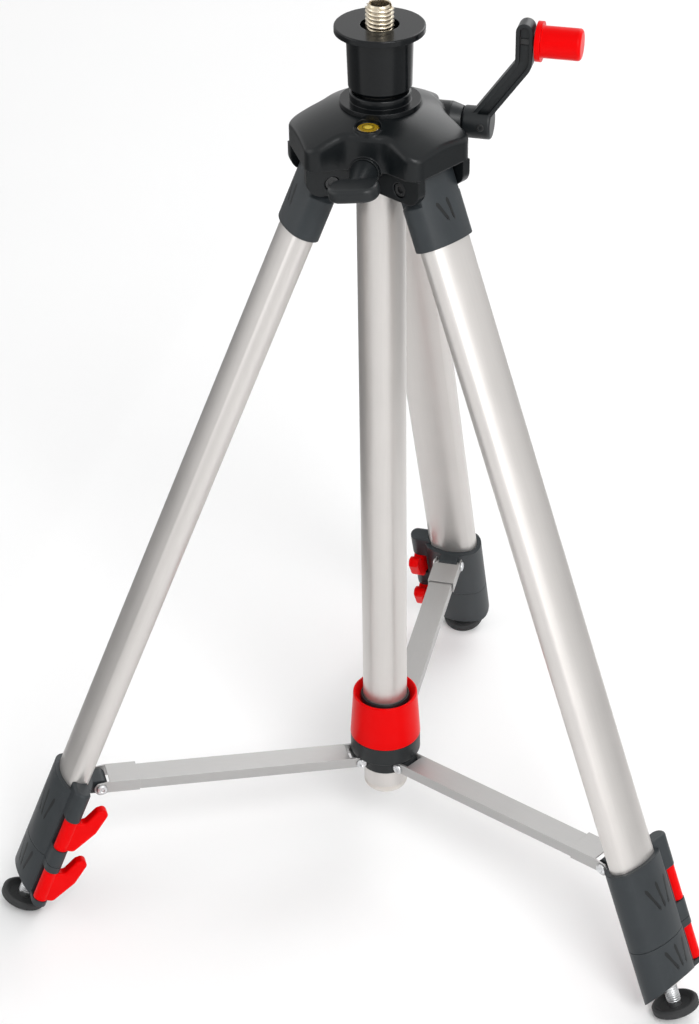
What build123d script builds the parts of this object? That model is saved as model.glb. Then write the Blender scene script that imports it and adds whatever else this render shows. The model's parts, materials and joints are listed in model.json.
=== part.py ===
import os
from math import acos, atan2, cos, degrees, hypot, pi, radians, sin, tan

from build123d import *

os.makedirs("parts", exist_ok=True)

# Clearances
running_gap = 0.1
pin_gap = 0.05
seat_gap = 0.02
tube_gap = 0.35
face_gap = 0.4

# Small edge roundings
edge_round = 1
edge_bevel = 0.8

# Stance: three legs around the column, leaning outwards from their hinge pins
leg_angle = 23.4
leg_azimuths = {"left": 210, "right": 330, "rear": 90}
leg_start = 90
leg_count = len(leg_azimuths)
pivot_radius = 33.5
hinge_pin_radius = 3
knuckle_radius = 8.8

# Stations along a leg, from its hinge pin down
tube_top = 14
cap_start = 10
cap_end = 37
upper_clamp_top = 428
upper_clamp_end = 480
lower_clamp_end = 519
tube_grip = 24
outer_tube_end = upper_clamp_end - tube_grip
mid_tube_top = 40
mid_tube_end = 498
inner_tube_top = 60
inner_tube_end = 512
pad_top = 524.5
pad_end = 533.5

# Leg tubes: flat ovals, one inside the other
tube_half_width = 17
tube_half_depth = 9
tube_end_radius = 7
tube_wall = 1.3
cap_wall = 2.2
cap_shoulder = 2.5
cap_face = tube_half_depth + cap_wall
tongue_rise = 4
tongue_round = 3
mid_shrink = tube_wall + tube_gap
inner_shrink = 2 * mid_shrink

# Foot pad: its dome rests on the floor, which sets the height of the hinge pins
pad_radius = 14.5
pad_rim = 2.5
pad_dish = 2.6
dome_radius = 26
dome_station = pad_end - dome_radius
pivot_height = dome_station * cos(radians(leg_angle)) + dome_radius
spike_radius = 3.75
spike_top = 500
spike_end = 529
spike_point = 1

# Heights of the head, up from the hinge pins
plate_rise = 80.5
plate_top = pivot_height + plate_rise
axle_rise = 19.5
axle_height = pivot_height + axle_rise
knob_rise = 10
knob_height = pivot_height + knob_rise
casting_rise = 34.5
casting_top = pivot_height + casting_rise
crown_rise = 29
crown_height = pivot_height + crown_rise
eaves_rise = 19
eaves_height = pivot_height + eaves_rise
rim_rise = 15
rim_floor = pivot_height + rim_rise
fork_rise = 9.3
fork_ceiling = pivot_height + fork_rise
casting_drop = 7
casting_bottom = pivot_height - casting_drop

# Head casting
lobe_radius = 48
crown_width = 48
cheek_width = 41
cheek_corner = 9
lobe_corner = 8
brim_radius = 36
core_radius = 21
crown_radius = 23
crown_shoulder = 38
eaves_radius = 54
rim_round = 4
screw_boss_radius = 8.5
screw_boss_end = 38
fork_width = 30.6
fork_start = 21.5
column_bore = 13.2
socket_rise = 5
socket_top = pivot_height + socket_rise
hinge_head_radius = 4.4
hinge_head_depth = 2.2

# Column, rack and pinion
column_radius = 11
column_wall = 1.5
column_length = 330
column_stroke = 250
gear_module = 1
pinion_teeth = 16
pinion_width = 6.5
pinion_gap = 0.4
pressure_angle = 20
tooth_share = 0.40
root_depth = 1.25
rack_tip = 12.2
rack_base = 7.4
rack_width = 7
pitch_radius = gear_module * pinion_teeth / 2
tooth_pitch = pi * gear_module
axle_y = rack_tip - gear_module + pitch_radius

# Platform and stud
plate_radius = 25
plate_thickness = 3.5
plate_hole = 10.75
neck_top_radius = 18.5
neck_end_radius = 17.7
neck_length = 36.5
neck_end = plate_top - neck_length
neck_bevel = 2
stud_collar = 14
neck_seat = plate_top - stud_collar
stud_radius = 15.875 / 2
stud_bore = 5.4
stud_rise = 12
stud_notch = 3.2
stud_notch_depth = 2.5
stud_notches = 2

# Column bush
bush_flange_radius = 22.5
bush_flange = 3
bush_lip_radius = 17
bush_lip = 5
bush_spigot = 3.8

# Level vial
vial_inset = 8.3
vial_y = vial_inset - brim_radius
vial_radius = 6.2
vial_sink = 2
vial_top = casting_top - vial_sink
vial_depth = 5.5
cup_wall = 0.8
cup_floor = 1.6
vial_boss_wall = 0.9

# Lock knob: a flat wing on a screw, rolled a little to one side
screw_radius = 3
screw_seat = 4
shoe_radius = 4
shoe_thickness = 2.4
knob_inner = 39
knob_neck_end = 54
knob_neck_radius = 8
knob_throat_radius = 4.5
wing_start = 51
wing_end = 69
wing_width = 28
wing_thickness = 8
wing_corner = 8
wing_round = 2.5
wing_roll = 8.5

# Crank
shaft_radius = 4
shaft_start = -14
bearing_radius = 6.5
boss_radius = 10.5
boss_end = 36
bearing_end_radius = 8.5
bearing_end = 42.5
crank_hub_radius = 9
crank_hub_start = 42.8
crank_hub_end = 59
hub_round = 1.5
shaft_inset = 4
arm_foot = 52
arm_elbow = 76.5
arm_foot_rise = 4
arm_elbow_rise = 38
arm_top_rise = 57
arm_foot_height = axle_height + arm_foot_rise
arm_elbow_height = axle_height + arm_elbow_rise
arm_top_height = axle_height + arm_top_rise
arm_width = 9.4
arm_thickness = 10
arm_bend = 8
arm_groove_inset = 2.2
arm_groove_depth = 2.5
grip_drop = 6.3
grip_height = arm_top_height - grip_drop
grip_gap = 1.6
grip_length = 24.7
grip_start = arm_elbow + arm_width / 2 + grip_gap
grip_end = grip_start + grip_length
grip_radius = 8.75
grip_flange_radius = 11
grip_flange = 3
grip_pin_radius = 3
grip_pin_inset = 3
grip_cap = 2

# Clamp lugs: on the inner side of the upper clamps, where the braces are pinned
clamp_wall = 3.2
lug_drop = 2.8
lug_reach = 5.85
lug_station = upper_clamp_top + lug_drop
lug_inset = tube_half_depth + clamp_wall + lug_reach
lean_out = sin(radians(leg_angle))
lean_down = cos(radians(leg_angle))
lug_radius = pivot_radius + lug_station * lean_out - lug_inset * lean_down
lug_height = pivot_height - lug_station * lean_down - lug_inset * lean_out
clamp_lug_half_width = 6.4
clamp_lug_radius = 4.6

# Braces: channels open below, hinged on the hub
hub_pin_radius = 18.5
brace_drop = 19.6
hub_pin_height = lug_height - brace_drop
brace_span = hypot(lug_radius - hub_pin_radius, brace_drop)
brace_angle = degrees(atan2(brace_drop, lug_radius - hub_pin_radius))
brace_pin_radius = 2.5
brace_tail = 22.5
brace_length = brace_span - brace_tail
brace_eye = 3.5
brace_web_start = 8
brace_half_width = 8
brace_below = 3
brace_above = 4.2
sheet = 1.2
hub_lug_half_width = 6.5
hub_lug_radius = 4.2

# Outer end of a brace, which stays on the clamp where the linkage is opened
end_overlap = 9
end_start = brace_length - end_overlap
end_gap = 0.4
end_web_gap = 1.5
end_web_start = brace_length + end_web_gap
end_web_stop = 5
end_eye = 4.6

# Centre tube, spreader hub and lock ring
centre_radius = 14
centre_wall = 1
barrel_below = 6.4
hub_above = 5.6
hub_band = 12
ring_height = 32
tube_below = 13
plug_height = 6
barrel_end = hub_pin_height - barrel_below
hub_end = hub_pin_height + hub_above
ring_end = hub_end + hub_band
ring_top = ring_end + ring_height
centre_end = barrel_end - tube_below
plug_end = centre_end - plug_height
plug_depth = 14
plug_round = 4
hub_radius = 22.5
barrel_radius = 16
collet_radius = 16.6
ring_top_radius = 20.5
ring_end_radius = 22.6
ring_brim = 1.2
ring_lip_radius = 15
ring_lip_drop = 6
ring_lip_depth = 3
ring_lip_top = ring_top - ring_lip_drop
ring_lip_end = ring_lip_top - ring_lip_depth
collet_top = ring_lip_end - face_gap

# Clamps and levers
ear_radius = 5
ear_rise = 5
ear_round = 2
lever_axis = 25.5
lever_hub = 4.6
lever_trunnion = 2
lever_trunnion_length = 3
lever_inner = 22.2
lever_outer = 29.2
upper_lever_drop = 17
lower_lever_drop = 5.5
upper_lever_top = upper_clamp_top + upper_lever_drop
lower_lever_top = upper_clamp_end + lower_lever_drop
lever_length = 22.5
lever_throat = 8
lever_tip_rise = 13
lever_tip_width = 4
lever_tip_reach = 20.5
lever_tip_inner = 12.5
lever_tip_middle = 17
lever_heel = 6
lever_heel_reach = 17.5
lever_round = 3
lever_edge_round = 1.5
foot_bevel = 14
ear_trim = 2

# Slash marks: shallow slots that fan out on the outer faces of caps and clamps
slash_length = 8.5
slash_width = 1.8
slash_depth = 1.5
slash_pitch = 5.5
slash_lean = 25
slash_turn = 17
cap_slash_count = 2
cap_slash_first = -3.5
cap_slash_station = 20
clamp_slash_count = 3
clamp_slash_first = -1.5
upper_slash_station = 455
lower_slash_station = 496

# Origin: on the floor, midway between the rear pad and the lever ears in front
rim_station = dome_station + (dome_radius**2 - pad_radius**2) ** 0.5
half_gap = radians(180 / leg_count)
rear_reach = pivot_radius + rim_station * lean_out + pad_radius * lean_down
ear_station = lower_lever_top + lever_length
ear_reach = (lever_axis + ear_radius) * sin(half_gap)
front_reach = (pivot_radius + ear_station * lean_out) * cos(half_gap) + ear_reach
footprint_shift = (front_reach - rear_reach) / 2


def outward(azimuth):
    """Unit vector from the column towards a leg."""
    return Vector(cos(radians(azimuth)), sin(radians(azimuth)), 0)


def across(azimuth):
    """Unit vector along a leg's hinge pin."""
    return Vector(-sin(radians(azimuth)), cos(radians(azimuth)), 0)


def along(azimuth):
    """Unit vector down a leg's axis."""
    lean = radians(leg_angle)
    return outward(azimuth) * sin(lean) - Vector(0, 0, cos(lean))


def pivot(azimuth):
    """Middle of a leg's hinge pin."""
    return outward(azimuth) * pivot_radius + Vector(0, 0, pivot_height)


def section(azimuth, station):
    """Plane square to a leg: x along the hinge pin, y outwards, z down the leg."""
    return Plane(pivot(azimuth) + along(azimuth) * station, x_dir=across(azimuth), z_dir=along(azimuth))


def flank(azimuth):
    """Plane through a leg's axis: x down the leg, y inwards, z along the hinge pin."""
    return Plane(pivot(azimuth), x_dir=along(azimuth), z_dir=across(azimuth))


def brace_side(azimuth):
    """Plane through a brace: x out along the brace from the hub pin, y up."""
    slope = radians(brace_angle)
    direction = outward(azimuth) * cos(slope) + Vector(0, 0, sin(slope))
    origin = outward(azimuth) * hub_pin_radius + Vector(0, 0, hub_pin_height)
    return Plane(origin, x_dir=direction, z_dir=across(azimuth) * -1)


def radial(azimuth):
    """Upright plane through the column and a leg: x outwards, y up."""
    return Plane((0, 0, 0), x_dir=outward(azimuth), z_dir=across(azimuth) * -1)


def outer_face(azimuth, station, wall):
    """Plane touching the outer face of a sleeve on a leg: x along the hinge pin, y up the leg."""
    lean = radians(leg_angle)
    facing = outward(azimuth) * cos(lean) + Vector(0, 0, sin(lean))
    origin = pivot(azimuth) + along(azimuth) * station + facing * (tube_half_depth + wall)
    return Plane(origin, x_dir=across(azimuth), z_dir=facing)


def oval(grow):
    """Flat oval of a leg tube, grown or shrunk evenly: two tight end arcs and two shallow face arcs."""
    half_width = tube_half_width + grow
    half_depth = tube_half_depth + grow
    end_radius = tube_end_radius + grow
    end_centre = half_width - end_radius
    face_radius = (end_centre**2 + half_depth**2 - end_radius**2) / (2 * (half_depth - end_radius))
    reach = face_radius - end_radius
    join_x = end_centre + end_radius * end_centre / reach
    join_y = end_radius * (face_radius - half_depth) / reach
    with BuildSketch(Plane.XY, mode=Mode.PRIVATE) as outline:
        with BuildLine():
            ThreePointArc((join_x, -join_y), (half_width, 0), (join_x, join_y))
            ThreePointArc((join_x, join_y), (0, half_depth), (-join_x, join_y))
            ThreePointArc((-join_x, join_y), (-half_width, 0), (-join_x, -join_y))
            ThreePointArc((-join_x, -join_y), (0, -half_depth), (join_x, -join_y))
        make_face()
    return outline.sketch


tube_outline = oval(0)
tube_seat = oval(seat_gap)
tube_inside = oval(-tube_wall)
mid_outline = oval(-mid_shrink)
mid_seat = oval(seat_gap - mid_shrink)
mid_passage = oval(tube_gap - mid_shrink)
mid_inside = oval(-mid_shrink - tube_wall)
inner_outline = oval(-inner_shrink)
inner_passage = oval(tube_gap - inner_shrink)
inner_inside = oval(-inner_shrink - tube_wall)
inner_plug = oval(-inner_shrink - tube_wall - seat_gap)
cap_outline = oval(cap_wall)
cap_shoulder_outline = oval(cap_wall - cap_shoulder)
clamp_outline = oval(clamp_wall)


def slashes(count, first):
    """Slots side by side that fan out upwards."""
    with BuildSketch(Plane.XY, mode=Mode.PRIVATE) as fan:
        for step in range(count):
            with Locations((first + step * slash_pitch, 0)):
                SlotOverall(slash_length, slash_width, rotation=90 + slash_lean - step * slash_turn)
    return fan.sketch


cap_slashes = slashes(cap_slash_count, cap_slash_first)
clamp_slashes = slashes(clamp_slash_count, clamp_slash_first)


def save(piece, name):
    """Moves a finished piece to the origin of the footprint, names it and writes it as STEP."""
    placed = piece.moved(Location((0, footprint_shift, 0)))
    placed.label = name
    export_step(placed, f"parts/{name}.step")


# Head casting: a domed crown with three broad lobes, over cheeks that fork round the legs
with BuildPart() as head_casting:
    with BuildSketch(Plane.XY.offset(fork_ceiling)) as crown_plan:
        with PolarLocations(0, leg_count, start_angle=leg_start):
            Rectangle(lobe_radius, crown_width, align=(Align.MIN, Align.CENTER))
        Circle(brim_radius)
        fillet(crown_plan.vertices(), lobe_corner)
    extrude(amount=casting_top - fork_ceiling)
    with BuildSketch(Plane.XZ) as crown_side:
        with BuildLine():
            Polyline(
                (eaves_radius, eaves_height),
                (eaves_radius, fork_ceiling),
                (0, fork_ceiling),
                (0, casting_top),
                (crown_radius, casting_top),
            )
            ThreePointArc(
                (crown_radius, casting_top),
                (crown_shoulder, crown_height),
                (eaves_radius, eaves_height),
            )
        make_face()
    revolve(axis=Axis.Z, mode=Mode.INTERSECT)
    below_top = head_casting.edges().filter_by_position(Axis.Z, rim_floor, casting_top - edge_round)
    fillet([edge for edge in below_top if edge.bounding_box().min.Z > rim_floor], rim_round)
    with BuildSketch(Plane.XY.offset(casting_bottom)):
        Circle(core_radius)
    extrude(amount=fork_ceiling - casting_bottom)
    for azimuth in leg_azimuths.values():
        with BuildSketch(radial(azimuth)) as cheek:
            with Locations((0, casting_bottom)):
                Rectangle(lobe_radius, fork_ceiling - casting_bottom, align=(Align.MIN, Align.MIN))
            fillet(cheek.vertices().group_by(Axis.Y)[0].sort_by(Axis.X)[-1], cheek_corner)
        extrude(amount=cheek_width / 2, both=True)
    with BuildSketch(Plane.XZ.offset(column_bore)):
        with Locations((0, knob_height)):
            Circle(screw_boss_radius)
    extrude(amount=screw_boss_end - column_bore)
    with BuildSketch(Plane.XY.offset(rim_floor)):
        with Locations((0, vial_y)):
            Circle(vial_radius + cup_wall + vial_boss_wall)
    extrude(amount=vial_top - rim_floor)
    with BuildSketch(Plane.YZ.offset(column_bore)) as boss:
        with Locations((axle_y, axle_height)):
            Circle(boss_radius)
    extrude(amount=boss_end - column_bore)
    with BuildSketch(Plane.XY.offset(casting_bottom)) as forks:
        with PolarLocations(fork_start, leg_count, start_angle=leg_start):
            Rectangle(lobe_radius, fork_width, align=(Align.MIN, Align.CENTER))
    extrude(amount=fork_ceiling - casting_bottom, mode=Mode.SUBTRACT)
    with BuildSketch(Plane.XY.offset(casting_bottom)):
        Circle(column_bore)
    extrude(amount=casting_top - casting_bottom, mode=Mode.SUBTRACT)
    with BuildSketch(Plane.XY.offset(casting_bottom)):
        Circle(centre_radius + seat_gap)
    extrude(amount=socket_top - casting_bottom, mode=Mode.SUBTRACT)
    with BuildSketch(Plane.YZ):
        with Locations((axle_y, axle_height)):
            Circle(pitch_radius + gear_module + pinion_gap)
    extrude(amount=pinion_width / 2 + face_gap, both=True, mode=Mode.SUBTRACT)
    with BuildSketch(Plane.YZ.offset(shaft_start - face_gap)):
        with Locations((axle_y, axle_height)):
            Circle(shaft_radius + pin_gap)
    extrude(amount=boss_end - shaft_start + face_gap, mode=Mode.SUBTRACT)
    with BuildSketch(Plane.YZ):
        with Locations((axle_y, axle_height)):
            Circle(bearing_radius + seat_gap)
    extrude(amount=boss_end, mode=Mode.SUBTRACT)
    with BuildSketch(Plane.XZ):
        with Locations((0, knob_height)):
            Circle(screw_radius + pin_gap)
    extrude(amount=lobe_radius, mode=Mode.SUBTRACT)
    with BuildSketch(Plane.XZ):
        with Locations((0, knob_height)):
            Circle(shoe_radius + seat_gap)
    extrude(amount=column_radius + running_gap + shoe_thickness, mode=Mode.SUBTRACT)
    with BuildSketch(Plane.XY.offset(vial_top - vial_depth - cup_floor)):
        with Locations((0, vial_y)):
            Circle(vial_radius + cup_wall + seat_gap)
    extrude(amount=lobe_radius, mode=Mode.SUBTRACT)
    for azimuth in leg_azimuths.values():
        with BuildSketch(flank(azimuth)):
            Circle(hinge_pin_radius + seat_gap)
        extrude(amount=cheek_width, both=True, mode=Mode.SUBTRACT)
        for side in (-1, 1):
            with BuildSketch(flank(azimuth).offset(side * (cheek_width / 2 - hinge_head_depth))):
                Circle(hinge_head_radius)
            extrude(amount=side * hinge_head_depth, mode=Mode.SUBTRACT)
save(head_casting.part, "head_casting")

# Hinge pins: one across each fork, ends below the faces of the cheeks
with BuildPart() as hinge_pins:
    for azimuth in leg_azimuths.values():
        with BuildSketch(flank(azimuth)):
            Circle(hinge_pin_radius)
        extrude(amount=cheek_width / 2 - hinge_head_depth, both=True)
save(hinge_pins.part, "hinge_pins")

# Column bush: spigot, flange and lip, with a keyway for the rack
with BuildPart() as column_bush:
    with BuildSketch(Plane.XY.offset(casting_top - bush_spigot)):
        Circle(column_bore - seat_gap)
    extrude(amount=bush_spigot)
    with BuildSketch(Plane.XY.offset(casting_top)):
        Circle(bush_flange_radius)
    extrude(amount=bush_flange)
    with BuildSketch(Plane.XY.offset(casting_top + bush_flange)):
        Circle(bush_lip_radius)
    extrude(amount=bush_lip)
    fillet(column_bush.edges().filter_by(GeomType.CIRCLE).sort_by(Axis.Z)[-1], edge_round)
    with BuildSketch(Plane.XY.offset(casting_top - bush_spigot)):
        Circle(column_radius + running_gap)
        Rectangle(rack_width + 2 * face_gap, rack_tip + face_gap, align=(Align.CENTER, Align.MIN))
    extrude(amount=bush_spigot + bush_flange + bush_lip, mode=Mode.SUBTRACT)
save(column_bush.part, "column_bush")

# Vial cup: a thin ring with a floor, sunk in the crown
with BuildPart() as vial_cup:
    with BuildSketch(Plane.XY.offset(vial_top - vial_depth - cup_floor)):
        with Locations((0, vial_y)):
            Circle(vial_radius + cup_wall)
    extrude(amount=vial_depth + cup_floor)
    with BuildSketch(Plane.XY.offset(vial_top - vial_depth)):
        with Locations((0, vial_y)):
            Circle(vial_radius + seat_gap)
    extrude(amount=vial_depth, mode=Mode.SUBTRACT)
save(vial_cup.part, "vial_cup")

# Level vial: a round capsule with a slightly domed lens
with BuildPart() as level_vial:
    with BuildSketch(Plane.XY.offset(vial_top - vial_depth)):
        with Locations((0, vial_y)):
            Circle(vial_radius)
    extrude(amount=vial_depth)
    fillet(level_vial.edges().filter_by(GeomType.CIRCLE).sort_by(Axis.Z)[-1], edge_round)
save(level_vial.part, "level_vial")

# Centre tube: thin, from the socket of the head down through the spreader
with BuildPart() as centre_tube:
    with BuildSketch(Plane.XY.offset(centre_end)):
        Circle(centre_radius)
        Circle(centre_radius - centre_wall, mode=Mode.SUBTRACT)
    extrude(amount=socket_top - centre_end)
save(centre_tube.part, "centre_tube")

# Tube plug: a rounded end below the centre tube, with a spigot inside it
with BuildPart() as tube_plug:
    with BuildSketch(Plane.XY.offset(plug_end)):
        Circle(centre_radius)
    extrude(amount=centre_end - plug_end)
    fillet(tube_plug.edges().filter_by(GeomType.CIRCLE).sort_by(Axis.Z)[0], plug_round)
    with BuildSketch(Plane.XY.offset(centre_end)):
        Circle(centre_radius - centre_wall - seat_gap)
    extrude(amount=plug_depth)
save(tube_plug.part, "tube_plug")

# Crank bearing: a sleeve in the boss, with a cone outside it
with BuildPart() as crank_bearing:
    with BuildSketch(Plane.XZ.offset(-axle_y)):
        with BuildLine():
            Polyline(
                (pinion_width / 2 + face_gap, axle_height + shaft_radius + pin_gap),
                (pinion_width / 2 + face_gap, axle_height + bearing_radius),
                (boss_end, axle_height + bearing_radius),
                (boss_end, axle_height + boss_radius),
                (bearing_end, axle_height + bearing_end_radius),
                (bearing_end, axle_height + shaft_radius + pin_gap),
                close=True,
            )
        make_face()
    revolve(axis=Axis((0, axle_y, axle_height), (1, 0, 0)))
save(crank_bearing.part, "crank_bearing")

# Clamp shoe: a small pad between the lock screw and the column
with BuildPart() as clamp_shoe:
    with BuildSketch(Plane.XZ.offset(column_radius + running_gap)):
        with Locations((0, knob_height)):
            Circle(shoe_radius)
    extrude(amount=shoe_thickness)
save(clamp_shoe.part, "clamp_shoe")

# Column tube: slotted along its rear for the rack
rack_lead = 3.5 * tooth_pitch
rack_top = axle_height + rack_lead
rack_teeth = int((column_stroke + 2 * rack_lead) / tooth_pitch)
rack_bottom = rack_top - rack_teeth * tooth_pitch
with BuildPart() as column_tube:
    with BuildSketch(Plane.XY.offset(neck_seat - column_length)):
        Circle(column_radius)
        Circle(column_radius - column_wall, mode=Mode.SUBTRACT)
    extrude(amount=column_length)
    with BuildSketch(Plane.XY.offset(rack_bottom - seat_gap)):
        with Locations((0, rack_base - seat_gap)):
            Rectangle(rack_width + 2 * seat_gap, column_radius, align=(Align.CENTER, Align.MIN))
    extrude(amount=rack_top - rack_bottom + 2 * seat_gap, mode=Mode.SUBTRACT)
save(column_tube.part, "column_tube")

# Rack: straight-sided teeth set in the rear of the column
tooth_half = tooth_share * tooth_pitch / 2
tip_half = tooth_half - gear_module * tan(radians(pressure_angle))
root_half = tooth_half + root_depth * gear_module * tan(radians(pressure_angle))
rack_pitch_y = rack_tip - gear_module
rack_root = rack_pitch_y - root_depth * gear_module
rack_outline = [(rack_base, rack_bottom), (rack_base, rack_top), (rack_root, rack_top)]
for tooth in range(rack_teeth):
    middle = rack_top - (tooth + 0.5) * tooth_pitch
    rack_outline.append((rack_root, middle + root_half))
    rack_outline.append((rack_tip, middle + tip_half))
    rack_outline.append((rack_tip, middle - tip_half))
    rack_outline.append((rack_root, middle - root_half))
rack_outline.append((rack_root, rack_bottom))
with BuildPart() as rack:
    with BuildSketch(Plane.YZ):
        with BuildLine():
            Polyline(*rack_outline, close=True)
        make_face()
    extrude(amount=rack_width / 2, both=True)
save(rack.part, "rack")

# Platform: the round plate that carries a tool, and its neck around the column
with BuildPart() as platform:
    with BuildSketch(Plane.XZ):
        with BuildLine():
            Polyline(
                (column_radius + seat_gap, neck_end),
                (neck_end_radius - neck_bevel, neck_end),
                (neck_end_radius, neck_end + neck_bevel),
                (neck_top_radius, plate_top - plate_thickness),
                (plate_radius, plate_top - plate_thickness),
                (plate_radius, plate_top),
                (plate_hole, plate_top),
                (plate_hole, neck_seat),
                (column_radius + seat_gap, neck_seat),
                close=True,
            )
        make_face()
    revolve(axis=Axis.Z)
    fillet(platform.edges().filter_by(GeomType.CIRCLE).group_by(Axis.Z)[-1].sort_by(SortBy.RADIUS)[-1], edge_bevel)
save(platform.part, "platform")

# Stud: hollow, with a collar in the plate and a notched rim
with BuildPart() as stud:
    with BuildSketch(Plane.XY.offset(neck_seat)):
        Circle(plate_hole - seat_gap)
    extrude(amount=plate_top - neck_seat)
    with BuildSketch(Plane.XY.offset(plate_top)):
        Circle(stud_radius)
    extrude(amount=stud_rise)
    chamfer(stud.edges().filter_by(GeomType.CIRCLE).sort_by(Axis.Z)[-1], edge_bevel)
    with BuildSketch(Plane.XY.offset(neck_seat)):
        Circle(stud_bore)
    extrude(amount=plate_top + stud_rise - neck_seat, mode=Mode.SUBTRACT)
    with BuildSketch(Plane.XY.offset(plate_top + stud_rise - stud_notch_depth)):
        with PolarLocations(0, stud_notches):
            Rectangle(4 * stud_radius, stud_notch)
    extrude(amount=stud_notch_depth, mode=Mode.SUBTRACT)
save(stud.part, "stud")

# Pinion: involute teeth on the crank shaft, a gap facing the rack
base_radius = pitch_radius * cos(radians(pressure_angle))
tip_radius = pitch_radius + gear_module
root_radius = pitch_radius - root_depth * gear_module
flank_steps = 4


def involute(angle):
    """Involute function of a pressure angle in radians."""
    return tan(angle) - angle


def tooth_half_angle(radius):
    """Half the angle that a pinion tooth fills at a radius."""
    at_pitch = tooth_share * pi / pinion_teeth
    local = acos(min(1, base_radius / radius))
    return at_pitch + involute(radians(pressure_angle)) - involute(local)


pinion_outline = []
for tooth in range(pinion_teeth):
    middle = radians(leg_start + 180) + (tooth + 0.5) * 2 * pi / pinion_teeth
    radii = [root_radius]
    for step in range(flank_steps + 1):
        radii.append(base_radius + (tip_radius - base_radius) * step / flank_steps)
    for radius in radii:
        angle = middle - tooth_half_angle(max(radius, base_radius))
        pinion_outline.append((radius * cos(angle), radius * sin(angle)))
    for radius in reversed(radii):
        angle = middle + tooth_half_angle(max(radius, base_radius))
        pinion_outline.append((radius * cos(angle), radius * sin(angle)))
axle_plane = Plane((0, axle_y, axle_height), x_dir=(0, 0, -1), z_dir=(1, 0, 0))
with BuildPart() as pinion:
    with BuildSketch(axle_plane):
        with BuildLine():
            Polyline(*pinion_outline, close=True)
        make_face()
        Circle(shaft_radius + seat_gap, mode=Mode.SUBTRACT)
    extrude(amount=pinion_width / 2, both=True)
save(pinion.part, "pinion")

# Crank shaft: from its blind end in the head, through pinion and bearing, to the arm
with BuildPart() as crank_shaft:
    with BuildSketch(axle_plane.offset(shaft_start)):
        Circle(shaft_radius)
    extrude(amount=crank_hub_end - shaft_inset - shaft_start)
save(crank_shaft.part, "crank_shaft")

# Crank arm: hub on the shaft and a bent arm with a groove in each face
arm_line = [(arm_foot, arm_foot_height), (arm_elbow, arm_elbow_height), (arm_elbow, arm_top_height)]
with BuildPart() as crank_arm:
    with BuildSketch(axle_plane.offset(crank_hub_start)):
        Circle(crank_hub_radius)
    extrude(amount=crank_hub_end - crank_hub_start)
    fillet(crank_arm.edges().filter_by(GeomType.CIRCLE), hub_round)
    with BuildSketch(Plane.XZ.offset(-axle_y)):
        with BuildLine():
            FilletPolyline(*arm_line, radius=arm_bend)
            offset(amount=arm_width / 2, kind=Kind.ARC, side=Side.BOTH)
        make_face()
    extrude(amount=arm_thickness / 2, both=True)
    for side in (-1, 1):
        with BuildSketch(Plane.XZ.offset(-axle_y + side * (arm_thickness / 2 - arm_groove_depth))):
            with BuildLine():
                FilletPolyline(*arm_line, radius=arm_bend)
                offset(amount=arm_width / 2 - arm_groove_inset, kind=Kind.ARC, side=Side.BOTH)
            make_face()
        extrude(amount=side * arm_groove_depth, mode=Mode.SUBTRACT)
    with BuildSketch(axle_plane.offset(crank_hub_start)):
        Circle(shaft_radius + seat_gap)
    extrude(amount=crank_hub_end - shaft_inset - crank_hub_start, mode=Mode.SUBTRACT)
    with BuildSketch(Plane.YZ.offset(arm_elbow - arm_width)):
        with Locations((axle_y, grip_height)):
            Circle(grip_pin_radius + seat_gap)
    extrude(amount=2 * arm_width, mode=Mode.SUBTRACT)
save(crank_arm.part, "crank_arm")

# Grip pin: riveted in the top of the arm
with BuildPart() as grip_pin:
    with BuildSketch(Plane.YZ.offset(arm_elbow - arm_width / 2)):
        with Locations((axle_y, grip_height)):
            Circle(grip_pin_radius)
    extrude(amount=grip_end - grip_pin_inset - arm_elbow + arm_width / 2)
save(grip_pin.part, "grip_pin")

# Crank grip: a flanged barrel that turns on its pin
with BuildPart() as crank_grip:
    with BuildSketch(Plane.YZ.offset(grip_start)):
        with Locations((axle_y, grip_height)):
            Circle(grip_flange_radius)
    extrude(amount=grip_flange)
    with BuildSketch(Plane.YZ.offset(grip_start + grip_flange)):
        with Locations((axle_y, grip_height)):
            Circle(grip_radius)
    extrude(amount=grip_end - grip_start - grip_flange)
    fillet(crank_grip.edges().filter_by(GeomType.CIRCLE).sort_by(Axis.X)[-1], grip_cap)
    with BuildSketch(Plane.YZ.offset(grip_start)):
        with Locations((axle_y, grip_height)):
            Circle(grip_pin_radius + pin_gap)
    extrude(amount=grip_end - grip_cap - grip_start, mode=Mode.SUBTRACT)
save(crank_grip.part, "crank_grip")

# Lock screw: through the front wall of the head, up to the shoe
screw_tip = column_radius + running_gap + shoe_thickness
with BuildPart() as lock_screw:
    with BuildSketch(Plane.XZ.offset(screw_tip)):
        with Locations((0, knob_height)):
            Circle(screw_radius)
    extrude(amount=knob_neck_end + screw_seat - screw_tip)
save(lock_screw.part, "lock_screw")

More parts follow.
